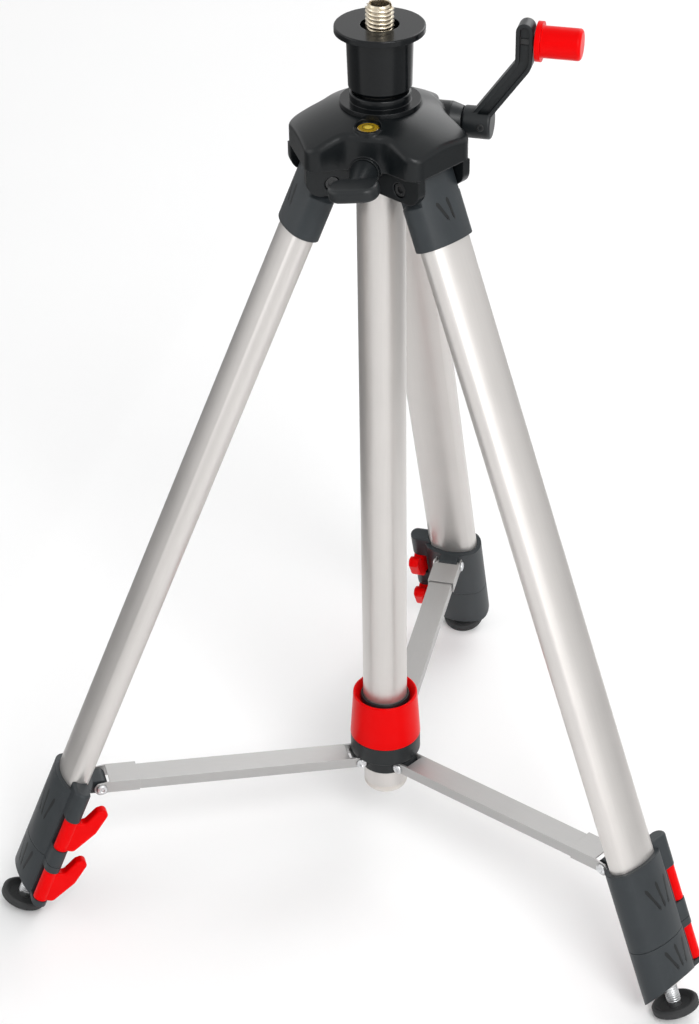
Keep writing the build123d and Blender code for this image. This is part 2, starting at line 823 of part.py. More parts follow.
# Lock knob: a cone that narrows to a throat, then a flat wing with round ends
roll = radians(wing_roll)
wing_plane = Plane((0, -wing_start, knob_height), x_dir=(cos(roll), 0, sin(roll)), z_dir=(-sin(roll), 0, cos(roll)))
with BuildPart() as lock_knob:
    with BuildSketch(wing_plane) as wing:
        with Locations((0, (wing_start - wing_end) / 2)):
            RectangleRounded(wing_width, wing_end - wing_start, wing_corner)
    extrude(amount=wing_thickness / 2, both=True)
    fillet(lock_knob.edges().filter_by(Axis(wing_plane.origin, wing_plane.z_dir), reverse=True), wing_round)
    with BuildSketch(Plane.XZ.offset(knob_inner)):
        with Locations((0, knob_height)):
            Circle(knob_neck_radius)
    with BuildSketch(Plane.XZ.offset(knob_neck_end)):
        with Locations((0, knob_height)):
            Circle(knob_throat_radius)
    loft()
    with BuildSketch(Plane.XZ.offset(knob_inner)):
        with Locations((0, knob_height)):
            Circle(screw_radius + seat_gap)
    extrude(amount=knob_neck_end + screw_seat - knob_inner, mode=Mode.SUBTRACT)
save(lock_knob.part, "lock_knob")

# Spreader hub: collet under the ring, collar, and a barrel with a lug for each brace
with BuildPart() as spreader_hub:
    with BuildSketch(Plane.XY.offset(barrel_end)):
        Circle(barrel_radius)
    extrude(amount=hub_end - barrel_end)
    with BuildSketch(Plane.XY.offset(hub_end)):
        Circle(hub_radius)
    extrude(amount=ring_end - hub_end)
    with BuildSketch(Plane.XY.offset(ring_end)):
        Circle(collet_radius)
    extrude(amount=collet_top - ring_end)
    for azimuth in leg_azimuths.values():
        with BuildSketch(brace_side(azimuth)):
            Circle(hub_lug_radius)
            with Locations((-hub_pin_radius / 2, 0)):
                Rectangle(hub_pin_radius, 2 * hub_lug_radius)
            Circle(brace_pin_radius + seat_gap, mode=Mode.SUBTRACT)
        extrude(amount=hub_lug_half_width, both=True)
    with BuildSketch(Plane.XY.offset(barrel_end - hub_lug_radius)):
        Circle(centre_radius + running_gap)
    extrude(amount=collet_top - barrel_end + 2 * hub_lug_radius, mode=Mode.SUBTRACT)
save(spreader_hub.part, "spreader_hub")

# Hub pins: one across each lug, carrying the two flanges of a brace
with BuildPart() as hub_pins:
    for azimuth in leg_azimuths.values():
        with BuildSketch(brace_side(azimuth)):
            Circle(brace_pin_radius)
        extrude(amount=brace_half_width + sheet, both=True)
save(hub_pins.part, "hub_pins")

# Lock ring: a tapered collar that turns on the collet, with a funnel at its top
with BuildPart() as lock_ring:
    with BuildSketch(Plane.XZ):
        with BuildLine():
            Polyline(
                (collet_radius + running_gap, ring_end + face_gap),
                (ring_end_radius, ring_end + face_gap),
                (ring_top_radius, ring_top),
                (ring_top_radius - ring_brim, ring_top),
                (ring_lip_radius, ring_lip_top),
                (ring_lip_radius, ring_lip_end),
                (collet_radius + running_gap, ring_lip_end),
                close=True,
            )
        make_face()
    revolve(axis=Axis.Z)
    fillet(lock_ring.edges().filter_by(GeomType.CIRCLE).group_by(Axis.Z)[-1].sort_by(SortBy.RADIUS)[-1], edge_bevel)
save(lock_ring.part, "lock_ring")

# Leg parts, once for each leg
for leg, azimuth in leg_azimuths.items():
    leg_axis = Axis(pivot(azimuth), along(azimuth))

    # Brace: two flanges with eyes on the hub pin and a web between them
    with BuildPart() as brace:
        with BuildSketch(brace_side(azimuth)):
            Circle(brace_eye)
            with Locations((0, -brace_below)):
                Rectangle(brace_length, brace_below + brace_above, align=(Align.MIN, Align.MIN))
            Circle(brace_pin_radius + pin_gap, mode=Mode.SUBTRACT)
        extrude(amount=brace_half_width, both=True)
        with BuildSketch(brace_side(azimuth)):
            with Locations((-brace_web_start, -brace_below - brace_eye)):
                Rectangle(
                    2 * brace_length,
                    brace_below + brace_above + brace_eye - sheet,
                    align=(Align.MIN, Align.MIN),
                )
            with Locations((-brace_web_start, -brace_below)):
                Rectangle(2 * brace_web_start, 4 * brace_above, align=(Align.MIN, Align.MIN))
        extrude(amount=brace_half_width - sheet, both=True, mode=Mode.SUBTRACT)
    save(brace.part, f"brace_{leg}")

    # Brace end: the same channel, wider by its sheet, riveted to the clamp's lug
    with BuildPart() as brace_end:
        with BuildSketch(brace_side(azimuth)):
            with Locations((brace_span, 0)):
                Circle(end_eye)
            with Locations((end_start, -brace_below)):
                Rectangle(
                    brace_span - end_start,
                    brace_below + brace_above + end_gap + sheet,
                    align=(Align.MIN, Align.MIN),
                )
        extrude(amount=brace_half_width + end_gap + sheet, both=True)
        with BuildSketch(brace_side(azimuth)):
            with Locations((0, -2 * brace_below)):
                Rectangle(
                    2 * brace_span,
                    2 * brace_below + brace_above + end_gap,
                    align=(Align.MIN, Align.MIN),
                )
            Rectangle(end_web_start, 4 * brace_above, align=(Align.MIN, Align.MIN))
            with Locations((brace_span - end_web_stop, 0)):
                Rectangle(brace_span, 4 * brace_above, align=(Align.MIN, Align.MIN))
        extrude(amount=brace_half_width + end_gap, both=True, mode=Mode.SUBTRACT)
        with BuildSketch(brace_side(azimuth)):
            with Locations((brace_span, 0)):
                Circle(brace_pin_radius)
        extrude(amount=brace_half_width + end_gap + 2 * sheet, both=True)
    save(brace_end.part, f"brace_end_{leg}")

    # Leg cap: a tongue on the hinge pin and a socket for the tube
    with BuildPart() as leg_cap:
        with BuildSketch(section(azimuth, -knuckle_radius)):
            add(cap_outline)
        extrude(amount=tube_top + knuckle_radius)
        with BuildSketch(flank(azimuth)) as tongue:
            Circle(knuckle_radius)
            Rectangle(tube_top, 2 * knuckle_radius, align=(Align.MIN, Align.CENTER))
            with Locations((-tongue_rise, 0)):
                Rectangle(tube_top + tongue_rise, cap_face, align=(Align.MIN, Align.MAX))
            fillet(tongue.vertices().sort_by_distance((-tongue_rise, -cap_face))[0], tongue_round)
        extrude(amount=fork_width / 2 - face_gap, both=True, mode=Mode.INTERSECT)
        with BuildSketch(section(azimuth, cap_start)):
            add(cap_shoulder_outline)
        with BuildSketch(section(azimuth, cap_start + cap_shoulder)):
            add(cap_outline)
        loft()
        with BuildSketch(section(azimuth, cap_start + cap_shoulder)):
            add(cap_outline)
        extrude(amount=cap_end - cap_start - cap_shoulder)
        with BuildSketch(outer_face(azimuth, cap_slash_station, cap_wall)):
            add(cap_slashes)
        extrude(amount=-slash_depth, mode=Mode.SUBTRACT)
        with BuildSketch(section(azimuth, tube_top)):
            add(tube_seat)
        extrude(amount=cap_end - tube_top, mode=Mode.SUBTRACT)
        with BuildSketch(flank(azimuth)):
            Circle(hinge_pin_radius + pin_gap)
        extrude(amount=fork_width, both=True, mode=Mode.SUBTRACT)
    save(leg_cap.part, f"leg_cap_{leg}")

    # Leg tube: the outer oval tube, from the cap to the upper clamp
    with BuildPart() as leg_tube:
        with BuildSketch(section(azimuth, tube_top)):
            add(tube_outline)
            add(tube_inside, mode=Mode.SUBTRACT)
        extrude(amount=outer_tube_end - tube_top)
    save(leg_tube.part, f"leg_tube_{leg}")

    # Upper clamp: a collar on the end of the leg tube, with a lug for the brace and ears for its lever
    with BuildPart() as upper_clamp:
        with BuildSketch(section(azimuth, upper_clamp_top)):
            add(clamp_outline)
        extrude(amount=upper_clamp_end - upper_clamp_top)
        with BuildSketch(section(azimuth, upper_clamp_top - ear_rise)):
            with Locations((lever_axis, 0)):
                Circle(ear_radius)
            Rectangle(lever_axis, 2 * ear_radius, align=(Align.MIN, Align.CENTER))
        extrude(amount=upper_clamp_end - upper_clamp_top + ear_rise)
        fillet(upper_clamp.edges().group_by(leg_axis)[0], ear_round)
        with BuildSketch(outer_face(azimuth, upper_slash_station, clamp_wall)):
            add(clamp_slashes)
        extrude(amount=-slash_depth, mode=Mode.SUBTRACT)
        with BuildSketch(brace_side(azimuth)):
            with Locations((brace_span, 0)):
                Circle(clamp_lug_radius)
                Rectangle(3 * clamp_lug_radius, 2 * clamp_lug_radius, align=(Align.MIN, Align.CENTER))
        extrude(amount=clamp_lug_half_width, both=True)
        with BuildSketch(section(azimuth, upper_clamp_top - 2 * clamp_lug_radius)):
            add(tube_seat)
        extrude(amount=outer_tube_end - upper_clamp_top + 2 * clamp_lug_radius, mode=Mode.SUBTRACT)
        with BuildSketch(section(azimuth, outer_tube_end)):
            add(mid_passage)
        extrude(amount=upper_clamp_end - outer_tube_end, mode=Mode.SUBTRACT)
        with BuildSketch(section(azimuth, upper_lever_top - face_gap)):
            with Locations((lever_axis, 0)):
                Rectangle(2 * (ear_radius + face_gap), 4 * ear_radius)
        extrude(amount=lever_length + 2 * face_gap, mode=Mode.SUBTRACT)
        with BuildSketch(section(azimuth, upper_lever_top - lever_trunnion_length - face_gap)):
            with Locations((lever_axis, 0)):
                Circle(lever_trunnion + pin_gap)
        extrude(amount=lever_length + 2 * lever_trunnion_length + 2 * face_gap, mode=Mode.SUBTRACT)
        with BuildSketch(brace_side(azimuth)):
            with Locations((brace_span, 0)):
                Circle(brace_pin_radius + seat_gap)
        extrude(amount=2 * clamp_lug_half_width, both=True, mode=Mode.SUBTRACT)
    save(upper_clamp.part, f"upper_clamp_{leg}")

    # Mid tube: slides inside the leg tube
    with BuildPart() as mid_tube:
        with BuildSketch(section(azimuth, mid_tube_top)):
            add(mid_outline)
            add(mid_inside, mode=Mode.SUBTRACT)
        extrude(amount=mid_tube_end - mid_tube_top)
    save(mid_tube.part, f"mid_tube_{leg}")

    # Lower clamp: a collar on the end of the mid tube, bevelled below on its outer side
    with BuildPart() as lower_clamp:
        with BuildSketch(section(azimuth, upper_clamp_end + face_gap)):
            add(clamp_outline)
        extrude(amount=lower_clamp_end - upper_clamp_end - face_gap)
        with BuildSketch(section(azimuth, upper_clamp_end + face_gap)):
            with Locations((lever_axis, 0)):
                Circle(ear_radius)
            Rectangle(lever_axis, 2 * ear_radius, align=(Align.MIN, Align.CENTER))
        extrude(amount=lower_lever_top + lever_length - upper_clamp_end + 2 * lever_trunnion_length - ear_trim)
        with BuildSketch(outer_face(azimuth, lower_slash_station, clamp_wall)):
            add(clamp_slashes)
        extrude(amount=-slash_depth, mode=Mode.SUBTRACT)
        with BuildSketch(section(azimuth, upper_clamp_end)):
            add(mid_seat)
        extrude(amount=mid_tube_end - upper_clamp_end, mode=Mode.SUBTRACT)
        with BuildSketch(section(azimuth, mid_tube_end)):
            add(inner_passage)
        extrude(amount=lower_clamp_end - mid_tube_end, mode=Mode.SUBTRACT)
        with BuildSketch(section(azimuth, lower_lever_top - face_gap)):
            with Locations((lever_axis, 0)):
                Rectangle(2 * (ear_radius + face_gap), 4 * ear_radius)
        extrude(amount=lever_length + 2 * face_gap, mode=Mode.SUBTRACT)
        with BuildSketch(section(azimuth, lower_lever_top - lever_trunnion_length - face_gap)):
            with Locations((lever_axis, 0)):
                Circle(lever_trunnion + pin_gap)
        extrude(amount=lever_length + 2 * lever_trunnion_length + 2 * face_gap, mode=Mode.SUBTRACT)
        with BuildSketch(flank(azimuth)):
            with BuildLine():
                Polyline(
                    (lower_clamp_end - foot_bevel, -tube_half_depth - 2 * clamp_wall),
                    (lower_clamp_end + edge_round, -tube_half_depth - 2 * clamp_wall),
                    (lower_clamp_end + edge_round, tube_half_depth),
                    close=True,
                )
            make_face()
        extrude(amount=2 * lever_axis, both=True, mode=Mode.SUBTRACT)
    save(lower_clamp.part, f"lower_clamp_{leg}")

    # Inner tube: slides inside the mid tube and carries the foot
    with BuildPart() as inner_tube:
        with BuildSketch(section(azimuth, inner_tube_top)):
            add(inner_outline)
            add(inner_inside, mode=Mode.SUBTRACT)
        extrude(amount=inner_tube_end - inner_tube_top)
    save(inner_tube.part, f"inner_tube_{leg}")

    # Foot spike: a pointed rod in the plug that closes the inner tube
    with BuildPart() as foot_spike:
        with BuildSketch(section(azimuth, spike_top)):
            add(inner_plug)
        extrude(amount=inner_tube_end - spike_top)
        with BuildSketch(section(azimuth, inner_tube_end)):
            Circle(spike_radius)
        extrude(amount=pad_top + pad_dish - inner_tube_end)
        with BuildSketch(flank(azimuth)):
            with BuildLine():
                Polyline(
                    (pad_top + pad_dish, 0),
                    (pad_top + pad_dish, spike_radius),
                    (spike_end, spike_point),
                    (spike_end, 0),
                    close=True,
                )
            make_face()
        revolve(axis=leg_axis)
    save(foot_spike.part, f"foot_spike_{leg}")

    # Foot pad: a rubber disc with a dished top and a domed sole
    with BuildPart() as foot_pad:
        with BuildSketch(flank(azimuth)):
            with BuildLine():
                Polyline(
                    (pad_end, 0),
                    (spike_end + face_gap, 0),
                    (spike_end + face_gap, spike_point + pin_gap),
                    (pad_top + pad_dish, spike_radius + pin_gap),
                    (pad_top + pad_dish, pad_radius - 2 * pad_rim),
                    (pad_top, pad_radius - pad_rim),
                    (pad_top, pad_radius - pad_rim / 2),
                    (pad_top + pad_rim / 2, pad_radius),
                    (rim_station, pad_radius),
                )
                ThreePointArc(
                    (rim_station, pad_radius),
                    (
                        dome_station + dome_radius * cos(radians(leg_angle)),
                        dome_radius * sin(radians(leg_angle)),
                    ),
                    (pad_end, 0),
                )
            make_face()
        revolve(axis=leg_axis)
    save(foot_pad.part, f"foot_pad_{leg}")

    # Levers: a hub with trunnions in the ears, and a tail that hooks up and inwards
    for place, top in (("upper", upper_lever_top), ("lower", lower_lever_top)):
        with BuildPart() as lever:
            with BuildSketch(flank(azimuth).offset(lever_inner)) as tail:
                with BuildLine():
                    Polyline(
                        (top, 0),
                        (top, lever_throat),
                        (top - lever_tip_rise + lever_round, lever_tip_inner),
                        (top - lever_tip_rise, lever_tip_middle),
                        (top - lever_tip_rise + lever_tip_width, lever_tip_reach),
                        (top + lever_heel, lever_heel_reach),
                        (top + lever_length, lever_throat),
                        (top + lever_length, 0),
                        close=True,
                    )
                make_face()
                fillet(tail.vertices().filter_by_position(Axis.Y, edge_round, lever_tip_reach), lever_round)
            extrude(amount=lever_outer - lever_inner)
            fillet(lever.edges().filter_by(Axis(pivot(azimuth), across(azimuth)), reverse=True), lever_edge_round)
            with BuildSketch(section(azimuth, top)):
                with Locations((lever_axis, 0)):
                    Circle(lever_hub)
            extrude(amount=lever_length)
            with BuildSketch(section(azimuth, top - lever_trunnion_length)):
                with Locations((lever_axis, 0)):
                    Circle(lever_trunnion)
            extrude(amount=lever_length + 2 * lever_trunnion_length)
        save(lever.part, f"{place}_lever_{leg}")
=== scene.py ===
import json
from math import cos, pi, radians, sin

import bmesh
import bpy
from mathutils import Color, Matrix, Vector


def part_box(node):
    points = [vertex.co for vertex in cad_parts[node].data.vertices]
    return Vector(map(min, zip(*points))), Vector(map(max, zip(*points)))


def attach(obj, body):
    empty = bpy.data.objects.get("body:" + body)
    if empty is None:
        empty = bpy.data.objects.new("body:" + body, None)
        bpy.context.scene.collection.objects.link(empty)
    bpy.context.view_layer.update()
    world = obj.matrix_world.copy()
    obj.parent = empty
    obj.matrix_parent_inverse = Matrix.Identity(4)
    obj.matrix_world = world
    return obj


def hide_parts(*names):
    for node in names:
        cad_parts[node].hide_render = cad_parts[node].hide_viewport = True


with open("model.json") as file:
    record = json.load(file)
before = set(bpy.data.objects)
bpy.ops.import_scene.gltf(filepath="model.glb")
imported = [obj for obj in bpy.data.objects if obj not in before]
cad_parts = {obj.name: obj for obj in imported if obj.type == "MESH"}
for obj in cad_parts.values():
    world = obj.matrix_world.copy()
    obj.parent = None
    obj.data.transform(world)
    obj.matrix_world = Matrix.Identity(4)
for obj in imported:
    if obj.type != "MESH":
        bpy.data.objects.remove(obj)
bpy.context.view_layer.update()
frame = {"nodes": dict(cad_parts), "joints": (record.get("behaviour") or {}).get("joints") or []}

# Head casting: the die-cast spider that carries the legs, the column and the crank.
# It is powder-coated satin black, with a fine orange-peel skin that is rubbed a little paler on its edges.
mm = 0.001


class Wire:
    """A socket of a node tree: arithmetic on it adds Math nodes, and add() puts in any other node."""

    def __init__(self, tree, socket=None):
        self.tree = tree
        self.socket = socket

    def add(self, kind, settings=None, sockets=None, out=0):
        """Puts in a node with its settings and the values or links of its sockets, and gives one output."""
        node = self.tree.nodes.new(kind)
        for name, value in (settings or {}).items():
            setattr(node, name, value)
        for name, value in (sockets or {}).items():
            if isinstance(value, Wire):
                self.tree.links.new(value.socket, node.inputs[name])
            else:
                node.inputs[name].default_value = value
        return Wire(self.tree, node.outputs[out] if node.outputs else None)

    def math(self, operation, first, second):
        return self.add("ShaderNodeMath", {"operation": operation}, {0: first, 1: second})

    def __add__(self, other):
        return self.math("ADD", self, other)

    __radd__ = __add__

    def __sub__(self, other):
        return self.math("SUBTRACT", self, other)

    def __rsub__(self, other):
        return self.math("SUBTRACT", other, self)

    def __mul__(self, other):
        return self.math("MULTIPLY", self, other)

    __rmul__ = __mul__

    def mix(self, first, second):
        """Colour between first and second, with this wire as the factor."""
        factor, first_colour, second_colour, colour_out = 0, 6, 7, 2
        sockets = {factor: self, first_colour: first, second_colour: second}
        return self.add("ShaderNodeMix", {"data_type": "RGBA"}, sockets, colour_out)


def srgb(red, green, blue):
    """A colour as it is seen on screen, 0 to 255, as a linear one."""
    colour = Color((red / 255, green / 255, blue / 255)).from_srgb_to_scene_linear()
    return (*colour, 1)


def paler(colour, gain, lift=0.0):
    """The tint of a colour where it is worn."""
    return (*(min(1, channel * gain + lift) for channel in colour[:3]), 1)


def start(name):
    """A new material: its object coordinates, and the call that closes its tree with a shader."""
    material = bpy.data.materials.new(name)
    material.use_nodes = True
    tree = material.node_tree
    tree.nodes.clear()
    blank = Wire(tree)
    place = blank.add("ShaderNodeTexCoord", out="Object")

    def close(**sockets):
        named = {key.replace("_", " ").title().replace("Ior", "IOR"): value for key, value in sockets.items()}
        shader = blank.add("ShaderNodeBsdfPrincipled", None, named)
        blank.add("ShaderNodeOutputMaterial", None, {"Surface": shader})
        return material

    return place, close


def noise(place, scale, detail=2.0, rough=0.5):
    """Soft noise from 0 to 1; scale is in grains per metre."""
    sockets = {"Vector": place, "Scale": scale, "Detail": detail, "Roughness": rough}
    return place.add("ShaderNodeTexNoise", None, sockets)


def ramp(wire, low, high):
    """The wire stretched so that low becomes 0 and high becomes 1, and cut off there."""
    return wire.add("ShaderNodeMapRange", None, {"Value": wire, "From Min": low, "From Max": high})


def round_off(place, radius):
    """Normal of edges softened by a radius, and how far each spot lies on such an edge, 0 to 1."""
    soft = place.add("ShaderNodeBevel", {"samples": 6}, {"Radius": radius})
    true = place.add("ShaderNodeNewGeometry", out="True Normal")
    bend = place.add("ShaderNodeVectorMath", {"operation": "DOT_PRODUCT"}, {0: soft, 1: true}, "Value")
    least_bend, full_bend = 0.02, 0.22
    return soft, ramp(1 - bend, least_bend, full_bend)


def bump(height, depth, soft):
    """Normal of a skin whose height runs from 0 to 1 over a depth in metres."""
    return height.add("ShaderNodeBump", None, {"Height": height, "Distance": depth, "Normal": soft})


def skin(name, deep, pale, gloss, grain, depth, edge, wear=0.22, shine=0.5):
    """Moulded or painted skin: drifting colour, fine grain, faint rubs and soft edges worn paler."""
    drift_scale, rub_scale = 38, 160
    place, close = start(name)
    drift = noise(place, drift_scale, detail=3)
    grains = noise(place, grain, detail=3, rough=0.6)
    rubbed = ramp(noise(place, rub_scale, detail=6, rough=0.65), low=0.50, high=0.74)
    soft, brink = round_off(place, edge)
    worn = rubbed * 0.3 + brink * rubbed * 0.7
    colour = (drift * 0.75 + grains * 0.25).mix(deep, pale)
    return close(
        base_color=(worn * wear).mix(colour, paler(pale, gain=1.9, lift=0.014)),
        roughness=gloss + drift * 0.10 + worn * 0.08 - 0.05,
        specular_ior_level=shine,
        normal=bump(grains, depth, soft),
    )


def dress(material, *nodes):
    """Puts one material on CAD nodes."""
    for node in nodes:
        mesh = frame["nodes"][node].data
        mesh.materials.clear()
        mesh.materials.append(material)


cast_black = skin(
    "cast_black",
    deep=srgb(9, 12, 14),
    pale=srgb(16, 20, 22),
    gloss=0.30,
    grain=900,
    depth=0.03 * mm,
    edge=1.2 * mm,
    wear=0.16,
    shine=0.28,
)
dress(cast_black, "head_casting")

# Hinge pins and screws: zinc-plated steel pins through the cheeks of the head, on which the legs fold.
# A blackened socket screw holds each end of a pin. Its head is turned, with a hexagon socket pressed in,
# and sits on the floor of a recess.
joints = {joint["name"]: joint for joint in frame["joints"]}
legs = ("left", "right", "rear")
cheek_floor = 18.3 * mm
round_ring, hexagon = 0, 6


def plated(name, deep, pale, gloss):
    """Plated metal with slight tarnish."""
    tarnish_scale, fine_scale = 700, 4000
    place, close = start(name)
    tarnish = ramp(noise(place, tarnish_scale, detail=5, rough=0.6), low=0.35, high=0.75)
    fine = noise(place, fine_scale)
    soft, brink = round_off(place, 0.2 * mm)
    return close(
        base_color=(brink * 0.6).mix(tarnish.mix(pale, deep), paler(pale, gain=1.15)),
        metallic=1.0,
        roughness=gloss + tarnish * 0.16 + fine * 0.05,
        normal=bump(fine, 0.008 * mm, soft),
    )


def shape(name, build):
    """Makes an object of a built mesh."""
    bmesh.ops.recalc_face_normals(build, faces=build.faces)
    mesh = bpy.data.meshes.new(name)
    build.to_mesh(mesh)
    build.free()
    return bpy.data.objects.new(name, mesh)


def lathe(name, rings, sides=36, hollow=False):
    """A turned shape up the z axis, from rings of radius and height in millimetres.
    A ring that isn't round gives its corners as well. The ends are closed, or where the shape is hollow,
    its last ring runs back to its first."""
    build = bmesh.new()
    loops = []
    for radius, height, *rest in rings:
        corners = rest[0] if rest else round_ring
        loop = []
        for step in range(sides):
            angle = 2 * pi * step / sides
            reach = radius * mm
            if corners:
                half = pi / corners
                reach *= cos(half) / cos(angle % (2 * half) - half)
            loop.append(build.verts.new((reach * cos(angle), reach * sin(angle), height * mm)))
        loops.append(loop)
    if hollow:
        loops.append(loops[0])
    else:
        build.faces.new(reversed(loops[0]))
        build.faces.new(loops[-1])
    for lower, upper in zip(loops, loops[1:]):
        for step in range(sides):
            after = (step + 1) % sides
            build.faces.new((lower[step], lower[after], upper[after], upper[step]))
    return shape(name, build)


def tree_of(name, inputs):
    """An empty Geometry Nodes tree with named inputs, and their wires."""
    tree = bpy.data.node_groups.new(name, "GeometryNodeTree")
    for label, kind in inputs.items():
        tree.interface.new_socket(label, in_out="INPUT", socket_type=f"NodeSocket{kind}")
    tree.interface.new_socket("Geometry", in_out="OUTPUT", socket_type="NodeSocketGeometry")
    source = tree.nodes.new("NodeGroupInput")
    return tree, {label: Wire(tree, source.outputs[label]) for label in inputs}


def end_tree(made, material):
    """Makes the instances real, gives them their material and ends the tree."""
    real = made.add("GeometryNodeRealizeInstances", None, {"Geometry": made})
    dressed = real.add("GeometryNodeSetMaterial", None, {"Geometry": real, "Material": material})
    dressed.add("NodeGroupOutput", None, {"Geometry": dressed})


head_tree, given = tree_of(
    "fastener_heads",
    {"Geometry": "Geometry", "Head": "Object", "Scale": "Float", "Material": "Material"},
)
facing = Wire(head_tree).add(
    "GeometryNodeInputNamedAttribute",
    {"data_type": "FLOAT_VECTOR"},
    {"Name": "facing"},
)
turned_to = facing.add("FunctionNodeAlignRotationToVector", {"axis": "Z"}, {"Vector": facing})
head_shape = facing.add("GeometryNodeObjectInfo", None, {"Object": given["Head"]}, "Geometry")
points = facing.add("GeometryNodeMeshToPoints", None, {"Mesh": given["Geometry"]})
heads = facing.add(
    "GeometryNodeInstanceOnPoints",
    None,
    {"Points": points, "Instance": head_shape, "Rotation": turned_to, "Scale": given["Scale"]},
)
end_tree(heads, given["Material"])


def grow(name, tree, mesh, values, body):
    """Runs a Geometry Nodes tree on a mesh, keeps the result as a plain mesh and lets it ride on a body."""
    piece = bpy.data.objects.new(name, mesh)
    bpy.context.collection.objects.link(piece)
    modifier = piece.modifiers.new("grow", "NODES")
    modifier.node_group = tree
    for item in tree.interface.items_tree:
        if item.in_out == "INPUT" and item.name in values:
            modifier[item.identifier] = values[item.name]
    grown = bpy.data.meshes.new_from_object(piece.evaluated_get(bpy.context.evaluated_depsgraph_get()))
    piece.modifiers.clear()
    piece.data = grown
    joined = bmesh.new()
    joined.from_mesh(grown)
    bmesh.ops.remove_doubles(joined, verts=joined.verts, dist=0.0001 * mm)
    bmesh.ops.recalc_face_normals(joined, faces=joined.faces)
    joined.to_mesh(grown)
    joined.free()
    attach(piece, body)
    return piece


def fasten(name, head, spots, material, body):
    """Puts a steel fastener head at each spot, which is a point and the way that it faces."""
    mesh = bpy.data.meshes.new(name)
    mesh.from_pydata([point for point, way in spots], [], [])
    ways = mesh.attributes.new("facing", "FLOAT_VECTOR", "POINT")
    for number, (point, way) in enumerate(spots):
        ways.data[number].vector = way
    grow(name, head_tree, mesh, {"Head": head, "Scale": 1.0, "Material": material}, body)


def both_sides(middle, axis, reach):
    """The two spots at a reach from the middle of a pin, facing outwards along its axis."""
    ways = [Vector(axis).normalized() * side for side in (-1, 1)]
    return [(Vector(middle) + way * reach, way) for way in ways]


zinc = plated("zinc_plate", deep=srgb(176, 178, 180), pale=srgb(222, 223, 224), gloss=0.24)
dress(zinc, "hinge_pins")
socket_head = lathe(
    "socket_head",
    (
        (3.4, 0),
        (4.1, 0.2),
        (4.1, 1.3),
        (3.7, 1.7),
        (2.4, 1.7),
        (2.3, 1.6, hexagon),
        (2.2, 0.4, hexagon),
    ),
)
black_oxide = skin(
    "black_oxide",
    deep=srgb(16, 17, 18),
    pale=srgb(26, 27, 28),
    gloss=0.30,
    grain=2600,
    depth=0.01 * mm,
    edge=0.2 * mm,
)
spots = []
for leg in legs:
    hinge = joints[f"leg_fold_{leg}"]
    spots += both_sides(hinge["pos_m"], hinge["axis"], cheek_floor)
fasten("hinge_screws", socket_head, spots, black_oxide, "frame")

# Column bush and platform: turned aluminium, hard-anodised black, smoother and glossier than the casting.
# Turning leaves fine rings round the column axis on the plate, the neck and the bush.
plate_low, plate_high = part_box("platform")
plate_face = plate_high.z
axis_x, axis_y = ((plate_low + plate_high) / 2).xy


def turned(name, deep, pale, gloss, rings, depth, edge, shine):
    """Lathe-turned finish: rings round the column axis, with a soft drift of colour and paler edges."""
    drift_scale = 45
    place, close = start(name)
    centred = place.add("ShaderNodeMapping", None, {"Vector": place, "Location": (-axis_x, -axis_y, 0)})
    x, y, z = (centred.add("ShaderNodeSeparateXYZ", None, {"Vector": centred}, side) for side in "XYZ")
    squared = x * x + y * y
    radius = squared.math("POWER", squared, 0.5)
    profile = place.add("ShaderNodeCombineXYZ", None, {"X": radius, "Y": z})
    lines = noise(profile, rings)
    drift = noise(place, drift_scale, detail=3)
    soft, brink = round_off(place, edge)
    tone = (drift * 0.8 + lines * 0.2).mix(deep, pale)
    return close(
        base_color=(brink * drift * 0.5).mix(tone, paler(pale, gain=2.4, lift=0.02)),
        specular_ior_level=shine,
        roughness=gloss + drift * 0.08 + lines * 0.06 - 0.06,
        normal=bump(lines, depth, soft),
    )


anodised_black = turned(
    "anodised_black",
    deep=srgb(8, 10, 12),
    pale=srgb(14, 17, 19),
    gloss=0.17,
    rings=1400,
    depth=0.004 * mm,
    edge=0.6 * mm,
    shine=0.24,
)
dress(anodised_black, "platform", "column_bush")

# Level vial: an acrylic capsule of yellow liquid in a black plastic cup, pressed into the crown of the head.
# A black ring is printed on its lens, and the bubble stands in the middle of that ring.
# The liquid grows darker towards the rim of the vial: that darkening is painted shade.
vial_low, vial_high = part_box("level_vial")
vial_centre = (vial_low + vial_high) / 2
vial_top = (vial_centre.x, vial_centre.y, vial_high.z)
clear_radius = 2.8 * mm
dark_radius = 6.6 * mm


def settle(piece, material, body, place=(0, 0, 0)):
    """Puts a piece in its place, with its material, and lets it ride on a body."""
    piece.data.transform(Matrix.Translation(place))
    piece.data.materials.append(material)
    bpy.context.collection.objects.link(piece)
    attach(piece, body)
    return piece


place, close = start("vial_liquid")
from_middle = place.add("ShaderNodeMapping", None, {"Vector": place, "Location": tuple(-vial_centre)})
off_middle = from_middle.add("ShaderNodeVectorMath", {"operation": "LENGTH"}, {0: from_middle}, "Value")
swirl = noise(place, scale=260)
# Painted shade: the liquid's colour darkens from the middle of the vial out to its rim.
painted_rim_shade = ramp(off_middle, clear_radius, dark_radius)
soft = round_off(place, 0.4 * mm)[0]
vial_liquid = close(
    base_color=(painted_rim_shade * 0.85 + swirl * 0.15).mix(srgb(206, 172, 40), srgb(128, 98, 10)),
    roughness=0.08 + swirl * 0.05,
    coat_weight=0.5,
    normal=bump(swirl, 0.01 * mm, soft),
)
dress(vial_liquid, "level_vial")
dress(cast_black, "vial_cup")
vial_print = skin(
    "vial_print",
    deep=srgb(34, 30, 16),
    pale=srgb(48, 42, 22),
    gloss=0.35,
    grain=3000,
    depth=0.004 * mm,
    edge=0.05 * mm,
)
printed_ring = lathe("vial_ring", ((3.0, 0), (3.4, 0), (3.4, 0.08), (3.0, 0.08)), sides=48, hollow=True)
settle(printed_ring, vial_print, "frame", vial_top)
